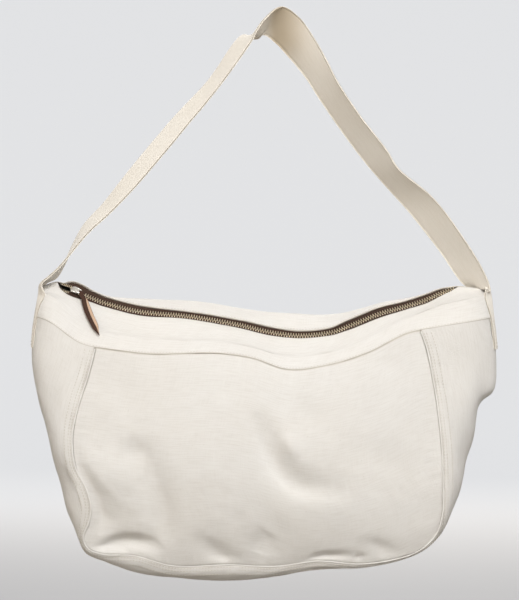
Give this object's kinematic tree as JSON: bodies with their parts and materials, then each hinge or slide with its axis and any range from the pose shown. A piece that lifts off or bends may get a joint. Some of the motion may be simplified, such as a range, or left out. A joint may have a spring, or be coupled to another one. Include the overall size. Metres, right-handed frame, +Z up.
{
  "type": "newspaper delivery bag",
  "caption": "Soft canvas shoulder bag with a zipped top, a yoke band, a gusset round the sides and bottom and one webbing strap it hangs by.",
  "frame": {"origin": "the point the strap hangs on: under the crest of the strap, at the middle of its width", "axes": "+X to the right along the bag's width, +Y from the front of the bag to its back, +Z up along the pull of the hanging bag"},
  "size_m": [0.5631, 0.1265, 0.6858],
  "materials": {
    "canvas": "undyed cotton duck",
    "webbing": "undyed cotton webbing",
    "tape": "dark brown woven tape",
    "teeth": "antique brass",
    "slider": "nickel",
    "thong": "dark brown leather, undyed inside"
  },
  "bodies": {
    "root": {"front_panel": "canvas", "back_panel": "canvas", "gusset": "canvas", "front_top_band": "canvas", "back_top_band": "canvas", "front_zip_facing": "canvas", "back_zip_facing": "canvas", "zip_tape_front": "tape", "zip_tape_back": "tape", "zip_teeth": "teeth", "zip_teeth_open_front": "teeth", "zip_teeth_open_back": "teeth", "zip_slider": "slider", "pull_thong": "thong", "shoulder_strap": "webbing", "front_seam_welt": "canvas", "back_seam_welt": "canvas"}
  },
  "joints": []
}
